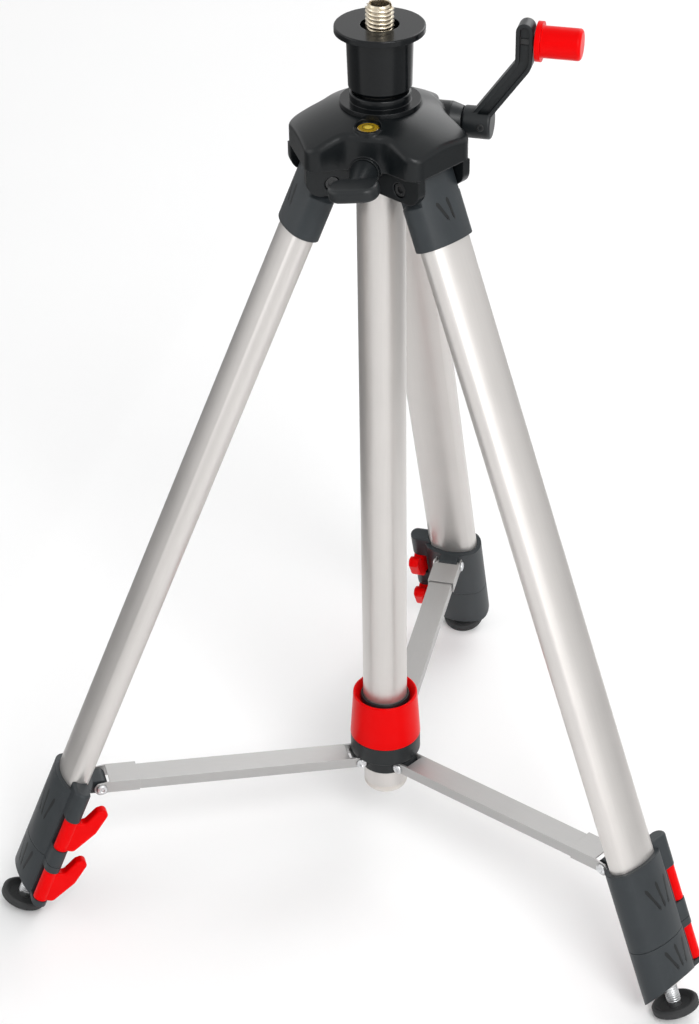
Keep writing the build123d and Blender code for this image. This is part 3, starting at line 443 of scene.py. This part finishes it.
bubble_pale = skin(
    "vial_bubble",
    deep=srgb(214, 186, 66),
    pale=srgb(232, 208, 96),
    gloss=0.12,
    grain=900,
    depth=0.004 * mm,
    edge=0.05 * mm,
    wear=0.0,
    shine=0.8,
)
bubble = lathe("vial_bubble", ((2.0, 0), (2.1, 0.06), (1.8, 0.14), (1.0, 0.2)), sides=48)
settle(bubble, bubble_pale, "frame", vial_top)

# Column: an extruded aluminium tube, satin-anodised, that the crank lifts out of the head.
# The black nylon rack is set into a slot along its rear.
upright = (0, 0, 1)
silver_tone = (srgb(198, 195, 192), srgb(213, 209, 206))
tube_gloss = 0.36


def drawn(name, deep, pale, gloss, axis, lines=1500):
    """Extruded or drawn metal: fine lines along an axis, a slow drift of tone and scattered dull rubs."""
    drift_scale, rub_scale, stretch = 30, 420, 0.012
    place, close = start(name)
    turn = Vector(axis).rotation_difference(Vector(upright)).to_euler("XYZ")
    aligned = place.add("ShaderNodeMapping", None, {"Vector": place, "Rotation": tuple(turn)})
    stretched = place.add("ShaderNodeMapping", None, {"Vector": aligned, "Scale": (1, 1, stretch)})
    streaks = noise(stretched, lines, detail=3, rough=0.6)
    drift = noise(place, drift_scale, detail=3)
    rubbed = ramp(noise(place, rub_scale, detail=5, rough=0.7), low=0.60, high=0.80)
    soft, brink = round_off(place, 0.4 * mm)
    tone = (drift * 0.5 + streaks * 0.5).mix(deep, pale)
    return close(
        base_color=(brink * drift).mix(tone, paler(pale, gain=1.15)),
        metallic=0.82,
        roughness=gloss + drift * 0.08 + streaks * 0.10 - 0.09 + rubbed * 0.07,
        normal=bump(streaks, 0.012 * mm, soft),
    )


dress(drawn("column_silver", *silver_tone, tube_gloss, upright), "column_tube")
rack_nylon = skin(
    "rack_nylon",
    deep=srgb(30, 31, 32),
    pale=srgb(42, 43, 44),
    gloss=0.45,
    grain=1200,
    depth=0.02 * mm,
    edge=0.2 * mm,
)
dress(rack_nylon, "rack")

# Stud: a hollow nickel-plated brass screw, 5/8 inch with 11 turns to the inch.
# Its collar holds it in the plate, the thread is cut down to the collar, and a slot crosses its rim.
stud_low, stud_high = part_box("stud")
stud_foot = (stud_low.z - plate_face) / mm
stud_top = (stud_high.z - plate_face) / mm
thread_pitch = 25.4 * mm / 11
stud_root = 6.55
slot_width = 3.2 * mm
slot_depth = 2.5 * mm
slot_length = 30 * mm
thread_tree, given = tree_of(
    "screw_thread",
    {
        "Geometry": "Geometry",
        "Turns": "Float",
        "Pitch": "Float",
        "Root Radius": "Float",
        "Ridge": "Float",
        "Material": "Material",
    },
)
helix = Wire(thread_tree).add(
    "GeometryNodeCurveSpiral",
    None,
    {
        "Resolution": 48,
        "Rotations": given["Turns"],
        "Start Radius": given["Root Radius"],
        "End Radius": given["Root Radius"],
        "Height": given["Turns"] * given["Pitch"],
    },
)
upright_helix = helix.add("GeometryNodeSetCurveNormal", {"mode": "Z_UP"}, {"Curve": helix})
triangle = helix.add("GeometryNodeCurvePrimitiveCircle", None, {"Resolution": 3, "Radius": given["Ridge"]})
crest = helix.add("GeometryNodeTransform", None, {"Geometry": triangle, "Rotation": (0, 0, pi)})
wound = helix.add(
    "GeometryNodeCurveToMesh",
    None,
    {"Curve": upright_helix, "Profile Curve": crest, "Fill Caps": True},
)
end_tree(wound, given["Material"])


def carve(piece, build):
    """Cuts a built shape out of a piece."""
    cutter = shape("cutter", build)
    bpy.context.collection.objects.link(cutter)
    cut = piece.modifiers.new("carve", "BOOLEAN")
    cut.operation = "DIFFERENCE"
    cut.solver = "EXACT"
    cut.use_self = True
    cut.object = cutter
    carved = bpy.data.meshes.new_from_object(piece.evaluated_get(bpy.context.evaluated_depsgraph_get()))
    piece.modifiers.clear()
    piece.data = carved
    bpy.data.objects.remove(cutter)


nickel = plated("stud_nickel", deep=srgb(160, 146, 116), pale=srgb(218, 208, 190), gloss=0.22)
core = lathe(
    "stud_core",
    (
        (5.4, stud_foot),
        (10.6, stud_foot),
        (10.6, stud_foot + 6),
        (7.5, stud_foot + 7),
        (stud_root, stud_foot + 7.8),
        (stud_root, stud_top - 1.2),
        (6.1, stud_top),
        (5.7, stud_top),
        (5.4, stud_top - 0.4),
    ),
    sides=72,
    hollow=True,
)
thread_start = (stud_foot + 9) * mm
thread_end = (stud_top - 1.3) * mm
stud = grow(
    "stud_screw",
    thread_tree,
    bpy.data.meshes.new("stud_screw"),
    {
        "Turns": (thread_end - thread_start) / thread_pitch,
        "Pitch": thread_pitch,
        "Root Radius": 6.6 * mm,
        "Ridge": 1.25 * mm,
        "Material": nickel,
    },
    "column",
)
whole = bmesh.new()
whole.from_mesh(stud.data)
bmesh.ops.translate(whole, verts=whole.verts, vec=(0, 0, thread_start))
whole.from_mesh(core.data)
bmesh.ops.translate(whole, verts=whole.verts, vec=(axis_x, axis_y, plate_face))
whole.to_mesh(stud.data)
whole.free()
slot = bmesh.new()
bmesh.ops.create_cube(slot, size=1)
bmesh.ops.scale(slot, verts=slot.verts, vec=(slot_length, slot_width, 2 * slot_depth))
bmesh.ops.translate(slot, verts=slot.verts, vec=(axis_x, axis_y, stud_high.z))
carve(stud, slot)
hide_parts("stud")

# Crank: an arm and hub of black nylon with glass fibre, on a zinc-plated shaft that carries the pinion.
# A grub screw in the hub holds the shaft, and the red grip spins on a pin that is riveted into the arm.
grub_station = 53.8 * mm
crank_hub_radius = 9 * mm
black_nylon = skin(
    "black_nylon",
    deep=srgb(16, 19, 21),
    pale=srgb(25, 29, 31),
    gloss=0.40,
    grain=1400,
    depth=0.03 * mm,
    edge=0.9 * mm,
    wear=0.16,
    shine=0.34,
)
dress(black_nylon, "crank_arm", "crank_bearing")
dress(zinc, "crank_shaft", "pinion")
dress(black_oxide, "grip_pin")
red_plastic = skin(
    "red_plastic",
    deep=srgb(212, 0, 2),
    pale=srgb(226, 1, 3),
    gloss=0.30,
    grain=1500,
    depth=0.01 * mm,
    edge=0.9 * mm,
    wear=0.01,
    shine=0.07,
)
dress(red_plastic, "crank_grip")
grub_screw = lathe(
    "grub_screw",
    (
        (1.9, -0.6),
        (2.1, 0.1),
        (1.9, 0.35),
        (1.15, 0.35),
        (1.1, 0.3, hexagon),
        (1.0, -0.4, hexagon),
    ),
)
grub_way = Vector((0, -1, 0.08)).normalized()
crank_middle = Vector(joints["crank_turn"]["pos_m"])
grub_spot = crank_middle + Vector((grub_station, 0, 0)) + grub_way * crank_hub_radius
fasten("crank_grub_screw", grub_screw, [(grub_spot, grub_way)], black_oxide, "crank")

# Lock knob: a T-bar of black nylon, moulded round the head of a zinc-plated screw.
# The screw runs through the front of the head and presses a shoe on the column.
dress(black_nylon, "lock_knob")
dress(zinc, "lock_screw", "clamp_shoe")

# Centre tube: thin drawn aluminium, pressed into the head and running down through the spreader.
# A rounded plug of pale plastic closes its lower end.
dress(drawn("centre_silver", *silver_tone, tube_gloss, upright), "centre_tube")
pale_plug = skin(
    "pale_plug",
    deep=srgb(196, 190, 184),
    pale=srgb(212, 206, 200),
    gloss=0.5,
    grain=1400,
    depth=0.03 * mm,
    edge=0.8 * mm,
)
dress(pale_plug, "tube_plug")

# Spreader hub: a black nylon slide on the centre tube, whose collet is closed by a red plastic lock ring.
# The rim of the collet shows inside the ring, and rivet heads close the steel pins that carry the braces.
flange_face = 8.02 * mm
dress(black_nylon, "spreader_hub")
dress(zinc, "hub_pins")
dress(red_plastic, "lock_ring")
rivet = lathe(
    "rivet_head",
    (
        (3.1, 0),
        (3.5, 0.2),
        (3.5, 0.7),
        (3.2, 1.25),
        (2.5, 1.6),
        (1.6, 1.65),
        (1.3, 1.4),
        (0.9, 1.32),
    ),
)
spots = []
for leg in legs:
    pin = joints[f"brace_fold_{leg}"]
    spots += both_sides(pin["pos_m"], pin["axis"], flange_face)
fasten("hub_rivets", rivet, spots, zinc, "hub")
collet = lathe(
    "collet_rim",
    ((14.3, -5.8), (14.7, -5.8), (16.0, -3.8), (15.8, -2.8), (15.1, -1.0), (14.3, -1.0)),
    sides=72,
    hollow=True,
)
ring_brim = (axis_x, axis_y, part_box("lock_ring")[1].z)
settle(collet, black_nylon, "hub", ring_brim)

# Leg tubes: three oval aluminium tubes that telescope in each leg, satin-anodised.
# They are extruded, so fine lines run along them.
down = {leg: Vector(joints[f"upper_extend_{leg}"]["axis"]).normalized() for leg in legs}
for leg in legs:
    tube_silver = drawn(f"tube_silver_{leg}", *silver_tone, tube_gloss, down[leg])
    dress(tube_silver, f"leg_tube_{leg}", f"mid_tube_{leg}", f"inner_tube_{leg}")

# Caps and clamps: mouldings of slate-grey nylon, pressed on the ends of the tubes.
# Long tapered grooves are moulded into their outer faces, two on each cap and three on each clamp.
slate_nylon = skin(
    "slate_nylon",
    deep=srgb(35, 39, 42),
    pale=srgb(48, 53, 56),
    gloss=0.44,
    grain=1400,
    depth=0.03 * mm,
    edge=0.9 * mm,
    wear=0.2,
    shine=0.32,
)
# Painted shade: the grooves are of the same slate nylon, and this near-black colour stands for the shade in
# their recess.
painted_groove_shade = skin(
    "painted_groove_shade",
    deep=srgb(16, 18, 19),
    pale=srgb(24, 26, 27),
    gloss=0.5,
    grain=1400,
    depth=0.02 * mm,
    edge=0.2 * mm,
    wear=0.05,
    shine=0.3,
)
tube_half_depth = 9 * mm
tube_face_radius = 33 * mm
cap_wall = 2.2 * mm
clamp_wall = 3.2 * mm
groove_spacing = 5.5 * mm
groove_foot = 5.5 * mm
groove_half_wide = 1.3 * mm
groove_half_narrow = 0.5 * mm
groove_proud = 0.04 * mm
groove_sunk = -0.3 * mm
groove_steps = 12
first_lean = 25
lean_step = 17
across = {leg: Vector(joints[f"leg_fold_{leg}"]["axis"]).normalized() for leg in legs}


def grooves(build, leg, station, wall, count, first, head):
    """Adds slanting, tapered grooves to the outer face of a moulding whose wall lies on the tube.
    They stand in a row across the leg, and each leans less than the one before."""
    # Each groove is a thin slab from just proud of the face down into it, and it carries the painted shade.
    middle = Vector(joints[f"leg_fold_{leg}"]["pos_m"]) + down[leg] * station
    face = down[leg].cross(across[leg])
    radius = tube_face_radius + wall
    for number in range(count):
        lean = radians(first_lean - lean_step * number)
        layers = []
        for lift in (groove_proud, groove_sunk):
            rows = []
            for step in range(groove_steps + 1):
                share = step / groove_steps
                run = (head + groove_foot) * share - head
                taper = groove_half_wide + (groove_half_narrow - groove_half_wide) * share
                half = taper * (1.02 - (2 * share - 1) ** 8) ** 0.5
                row = []
                for side in (-1, 0, 1):
                    aside = first + groove_spacing * number + run * sin(lean) + side * half * cos(lean)
                    along = run * cos(lean) - side * half * sin(lean)
                    reach = tube_half_depth + wall - radius + (radius**2 - aside**2) ** 0.5 + lift
                    corner = middle + across[leg] * aside + down[leg] * along + face * reach
                    row.append(build.verts.new(corner))
                rows.append(row)
            layers.append(rows)
        upper, lower = layers
        for row, after, under, under_after in zip(upper, upper[1:], lower, lower[1:]):
            for side in (0, 1):
                build.faces.new((row[side], row[side + 1], after[side + 1], after[side]))
                build.faces.new((under[side], under[side + 1], under_after[side + 1], under_after[side]))
            for side in (0, 2):
                build.faces.new((row[side], after[side], under_after[side], under[side]))
        for row, under in ((upper[0], lower[0]), (upper[-1], lower[-1])):
            for side in (0, 1):
                build.faces.new((row[side], row[side + 1], under[side + 1], under[side]))


for leg in legs:
    dress(slate_nylon, f"leg_cap_{leg}", f"upper_clamp_{leg}", f"lower_clamp_{leg}")
    shaded_grooves = bmesh.new()
    grooves(shaded_grooves, leg, station=20 * mm, wall=cap_wall, count=2, first=-3.5 * mm, head=8 * mm)
    grooves(shaded_grooves, leg, station=455 * mm, wall=clamp_wall, count=3, first=-1.5 * mm, head=14 * mm)
    settle(shape(f"leg_marks_{leg}", shaded_grooves), painted_groove_shade, f"leg_{leg}")
    shaded_grooves = bmesh.new()
    grooves(shaded_grooves, leg, station=496 * mm, wall=clamp_wall, count=3, first=-1.5 * mm, head=12 * mm)
    settle(shape(f"foot_marks_{leg}", shaded_grooves), painted_groove_shade, f"mid_{leg}")

# Cam levers: six levers of red plastic, one on each clamp, each moulded with its hub and trunnions.
# The trunnions turn in the ears of the clamp, and the lever squeezes the clamp on the tube.
for leg in legs:
    dress(red_plastic, f"upper_lever_{leg}", f"lower_lever_{leg}")

# Braces: three channels folded from aluminium sheet, open below, between the hub and the upper clamps.
# Each is held on the clamp's lug by a pin with two rivet heads. Its tip is a piece of its own, which stays
# on the lug, because the linkage is opened there.
channel_tone = (srgb(168, 167, 166), srgb(184, 183, 182))
brace_reach = 169.526 * mm
brace_rise = 19.6 * mm
lug_face = 9.12 * mm
tip_half_width = 9.1 * mm
tip_sheet = 0.7 * mm
tip_start = -24.5 * mm
tip_below = -3 * mm
tip_above = 5.3 * mm
web_stop = -5 * mm
eye_radius = 4.6 * mm
pin_radius = 2.5 * mm
pin_half_length = 8.8 * mm
clear = 10 * mm


def prism(build, outline, origin, axes, half):
    """Adds a plate with an outline in the plane of the first two axes, half to each side along the third."""
    along, above, beside = axes
    sides = []
    for side in (-half, half):
        corners = [origin + along * run + above * rise + beside * side for run, rise in outline]
        sides.append([build.verts.new(corner) for corner in corners])
        build.faces.new(sides[-1])
    near, far = sides
    for number in range(len(outline)):
        build.faces.new((near[number - 1], near[number], far[number], far[number - 1]))


def arc(radius, degrees):
    """Points of an arc round the pin."""
    return [(radius * cos(radians(turn)), radius * sin(radians(turn))) for turn in degrees]


eye = arc(eye_radius, range(221, 431, 15))
tip_side = [(tip_start, tip_below), *eye, (web_stop, tip_above), (tip_start, tip_above)]
web_under = tip_above - tip_sheet
tip_hollow = [
    (tip_start - clear, -clear),
    (clear, -clear),
    (clear, clear),
    (web_stop, clear),
    (web_stop, web_under),
    (tip_start - clear, web_under),
]
for leg in legs:
    out = across[leg].cross(Vector(upright))
    channel = drawn(f"channel_{leg}", *channel_tone, gloss=0.46, axis=out, lines=900)
    dress(channel, f"brace_{leg}")
    span = out * brace_reach + Vector(upright) * brace_rise
    lug = Vector(joints[f"brace_fold_{leg}"]["pos_m"]) + span
    along = span.normalized()
    axes = (along, along.cross(across[leg]), across[leg])
    plate = bmesh.new()
    prism(plate, tip_side, lug, axes, tip_half_width)
    tip = settle(shape(f"brace_tip_{leg}", plate), channel, f"leg_{leg}")
    hollow = bmesh.new()
    prism(hollow, tip_hollow, lug, axes, tip_half_width - tip_sheet)
    carve(tip, hollow)
    pinned = bmesh.new()
    pinned.from_mesh(tip.data)
    prism(pinned, arc(pin_radius, range(0, 360, 15)), lug, axes, pin_half_length)
    bmesh.ops.recalc_face_normals(pinned, faces=pinned.faces)
    pinned.to_mesh(tip.data)
    pinned.free()
    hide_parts(f"brace_end_{leg}")
    spots = both_sides(lug, across[leg], lug_face)
    fasten(f"lug_rivets_{leg}", rivet, spots, zinc, f"leg_{leg}")

# Feet: a zinc-plated spike in the plug of each inner tube, and a round pad of black rubber on its point.
# The thread is rolled on the spike, and the pad turns freely round it.
pad_rubber = skin(
    "pad_rubber",
    deep=srgb(24, 25, 26),
    pale=srgb(40, 41, 42),
    gloss=0.68,
    grain=1100,
    depth=0.08 * mm,
    edge=0.6 * mm,
)
thread_above_pad = 12.1 * mm
spike_thread = {
    "Turns": 8,
    "Pitch": 1.5 * mm,
    "Root Radius": 3.7 * mm,
    "Ridge": 0.7 * mm,
    "Material": zinc,
}
for leg in legs:
    dress(zinc, f"foot_spike_{leg}")
    dress(pad_rubber, f"foot_pad_{leg}")
    name = f"spike_thread_{leg}"
    thread = grow(name, thread_tree, bpy.data.meshes.new(name), spike_thread, f"foot_{leg}")
    turn = Vector(upright).rotation_difference(down[leg]).to_matrix().to_4x4()
    foot = Vector(joints[f"pad_turn_{leg}"]["pos_m"]) - down[leg] * thread_above_pad
    thread.data.transform(Matrix.Translation(foot) @ turn)

# Studio: a pale paper floor under soft lamps and a white sky, with the camera where the photograph was taken.
# Two grey cards lie on the floor beside the tripod, out of sight, and show only in reflections.
camera_place = Vector((0.3023, axis_y - 1.21235, 1.0913))
camera_ahead = Vector((-0.2146, 0.8034, -0.5555)).normalized()
camera_roll = radians(-0.993)
level_right = camera_ahead.cross(Vector(upright)).normalized()
level_up = level_right.cross(camera_ahead)
right = level_right * cos(camera_roll) + level_up * sin(camera_roll)
up = level_up * cos(camera_roll) - level_right * sin(camera_roll)
lens = bpy.data.cameras.new("camera")
lens.sensor_fit = "VERTICAL"
lens.sensor_height = 24
lens.lens = 57.8
camera = bpy.data.objects.new("camera", lens)
camera_turn = Matrix((right, up, -camera_ahead)).transposed().to_4x4()
camera.matrix_world = Matrix.Translation(camera_place) @ camera_turn
bpy.context.collection.objects.link(camera)
bpy.context.scene.camera = camera

paper_scale = 3
black = (0, 0, 0, 1)
white = (1, 1, 1, 1)


def lay(name, near, far, front, back, height):
    """A flat rectangle of the studio, level and not part of the tripod."""
    corners = [(near, front, height), (far, front, height), (far, back, height), (near, back, height)]
    mesh = bpy.data.meshes.new(name)
    mesh.from_pydata(corners, [], [(0, 1, 2, 3)])
    flat = bpy.data.objects.new(name, mesh)
    bpy.context.collection.objects.link(flat)
    return flat


floor = lay("floor", near=-6, far=6, front=-6, back=6, height=0)
fade_start, fade_end = 1.0, 2.4
place, close = start("floor_white")
distance = place.add("ShaderNodeVectorMath", {"operation": "LENGTH"}, {0: place}, "Value")
fade = ramp(distance, fade_start, fade_end)
paper = noise(place, paper_scale).mix(srgb(246, 246, 246), srgb(250, 250, 250))
floor_white = close(
    base_color=fade.mix(paper, black),
    roughness=0.8,
    emission_color=fade.mix(black, white),
    emission_strength=1.0,
)
floor.data.materials.append(floor_white)

for name, near, far, tone in (("left_card", -0.34, -3.5, 112), ("right_card", 0.5, 3.5, 160)):
    card = lay(name, near, far, front=-0.6, back=2.5, height=1 * mm)
    card.visible_camera = False
    card.visible_diffuse = False
    card.visible_shadow = False
    place, close = start(name)
    tones = [srgb(level, level, level) for level in (tone, tone + 8)]
    card.data.materials.append(close(base_color=noise(place, paper_scale).mix(*tones), roughness=0.8))

aim = Vector((0, 0, 0.35))
for name, spot, size, power in (
    ("key", (1.2, -1.8, 2.2), 1.1, 36),
    ("side", (1.75, -1.35, 0.85), 0.9, 7),
    ("fill", (-1.8, -1.0, 1.2), 1.4, 8),
    ("back", (0.6, 1.9, 1.8), 1.6, 22),
):
    lamp = bpy.data.lights.new(name, "AREA")
    lamp.size = size
    lamp.energy = power
    holder = bpy.data.objects.new(name, lamp)
    holder.location = spot
    holder.rotation_euler = (aim - Vector(spot)).to_track_quat("-Z", "Y").to_euler()
    bpy.context.collection.objects.link(holder)

sky_level = 0.62
sky_slant = 0.28
world = bpy.data.worlds.new("studio")
world.use_nodes = True
world.node_tree.nodes.clear()
sky = Wire(world.node_tree)
rays = [sky.add("ShaderNodeLightPath", out=f"Is {kind} Ray") for kind in ("Camera", "Glossy", "Transmission")]
seen = rays[0].math("MAXIMUM", rays[0], rays[1].math("MAXIMUM", rays[1], rays[2]))
direction = sky.add("ShaderNodeTexCoord", out="Generated")
aside = sky.add("ShaderNodeSeparateXYZ", None, {"Vector": direction}, "X")
lighting = sky.add("ShaderNodeBackground", None, {"Color": white, "Strength": aside * sky_slant + sky_level})
backdrop = sky.add("ShaderNodeBackground", None, {"Color": white, "Strength": 1.0})
both = sky.add("ShaderNodeMixShader", None, {0: seen, 1: lighting, 2: backdrop})
sky.add("ShaderNodeOutputWorld", None, {"Surface": both})
bpy.context.scene.world = world
bpy.context.scene.view_settings.view_transform = "Standard"
